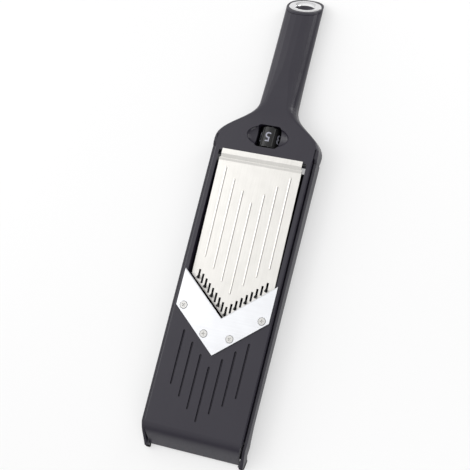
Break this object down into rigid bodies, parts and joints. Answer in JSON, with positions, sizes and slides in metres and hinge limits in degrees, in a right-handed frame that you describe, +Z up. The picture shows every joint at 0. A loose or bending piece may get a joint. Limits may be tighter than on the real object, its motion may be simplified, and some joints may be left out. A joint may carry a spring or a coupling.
{
  "type": "mandoline slicer",
  "caption": "Handheld V-blade mandoline slicer with a ribbed tilting feed plate, julienne combs, a thickness dial in the neck and an oval handle with a hanging eyelet.",
  "frame": {"origin": "middle of the bounding box in plan, on the plane that the feet and the handle's underside rest on", "axes": "+Y along the deck towards the handle, +Z up out of the deck, +X to the right when looking along +Y"},
  "size_m": [0.0986, 0.428, 0.0233],
  "materials": {
    "charcoal_abs": "fine moulded texture, slightly soft sheen",
    "black_abs": "moulded, smooth",
    "black_rubber": "matt",
    "ground_stainless": "fine ground",
    "brushed_stainless": "brushed along the handle",
    "polished_stainless": "polished",
    "spring_steel": "bright drawn",
    "light_acetal": "smooth",
    "blued_steel": "dark oxide finish",
    "bush_brass": "turned"
  },
  "bodies": {
    "frame": {"body_shell": "charcoal_abs", "handle_cover": "charcoal_abs", "handle_end_cap": "charcoal_abs", "hanging_eyelet": "polished_stainless", "front_lip": "charcoal_abs", "left_guide_rail": "charcoal_abs", "right_guide_rail": "charcoal_abs", "left_foot": "black_rubber", "right_foot": "black_rubber", "v_blade": "ground_stainless", "blade_screw_1": "ground_stainless", "blade_screw_2": "ground_stainless", "blade_screw_3": "ground_stainless", "blade_screw_4": "ground_stainless", "cover_screw_1": "spring_steel", "cover_screw_2": "spring_steel", "cover_screw_3": "spring_steel", "cover_screw_4": "spring_steel", "hinge_pin": "blued_steel", "plate_spring": "spring_steel", "mechanism_tray": "black_abs", "left_tray_screw": "spring_steel", "right_tray_screw": "spring_steel", "shaft_front_bush": "bush_brass", "shaft_middle_bush": "bush_brass", "shaft_rear_bush": "bush_brass", "detent_spring": "spring_steel"},
    "plate": {"feed_plate": "brushed_stainless", "plate_carrier": "black_abs", "left_lift_pin": "ground_stainless", "right_lift_pin": "ground_stainless"},
    "dial": {"thickness_dial": "black_abs", "dial_shaft": "ground_stainless", "shaft_clip": "spring_steel"},
    "wedge": {"wedge_slide": "light_acetal"},
    "coarse_julienne": {"coarse_comb": "blued_steel", "coarse_comb_holder": "light_acetal"},
    "fine_julienne": {"fine_comb": "blued_steel", "fine_comb_holder": "light_acetal"},
    "coarse_slider": {"coarse_selector": "black_abs"},
    "fine_slider": {"fine_selector": "black_abs"}
  },
  "joints": [
    {"name": "dial_spin", "type": "hinge", "parent": "frame", "child": "dial", "pos_m": [0, 0.0755, 0.0124], "axis": [0, 1, 0], "range_deg": [-144, 144]},
    {"name": "wedge_travel", "type": "slide", "parent": "frame", "child": "wedge", "axis": [0, 1, 0], "range_m": [-0.0081, 0.0081]},
    {"name": "plate_tilt", "type": "hinge", "parent": "frame", "child": "plate", "pos_m": [0, 0.054, 0.0198], "axis": [1, 0, 0], "range_deg": [-1.82, 1.82]},
    {"name": "coarse_select", "type": "slide", "parent": "plate", "child": "coarse_slider", "axis": [0, 0.9987, 0.0506], "range_m": [0, 0.005]},
    {"name": "coarse_lift", "type": "slide", "parent": "plate", "child": "coarse_julienne", "axis": [0, -0.0506, 0.9987], "range_m": [-0.00505, 0.00005]},
    {"name": "fine_select", "type": "slide", "parent": "plate", "child": "fine_slider", "axis": [0, 0.9987, 0.0506], "range_m": [-0.005, 0]},
    {"name": "fine_lift", "type": "slide", "parent": "plate", "child": "fine_julienne", "axis": [0, -0.0506, 0.9987], "range_m": [-0.00005, 0.00505]}
  ],
  "couplings": [
    {"joint": "wedge_travel", "follows": "dial_spin", "m_per_rad": 0.0031831},
    {"joint": "plate_tilt", "follows": "dial_spin", "ratio": 0.012503},
    {"joint": "coarse_lift", "follows": "coarse_select", "ratio": -1},
    {"joint": "fine_lift", "follows": "fine_select", "ratio": -1}
  ]
}
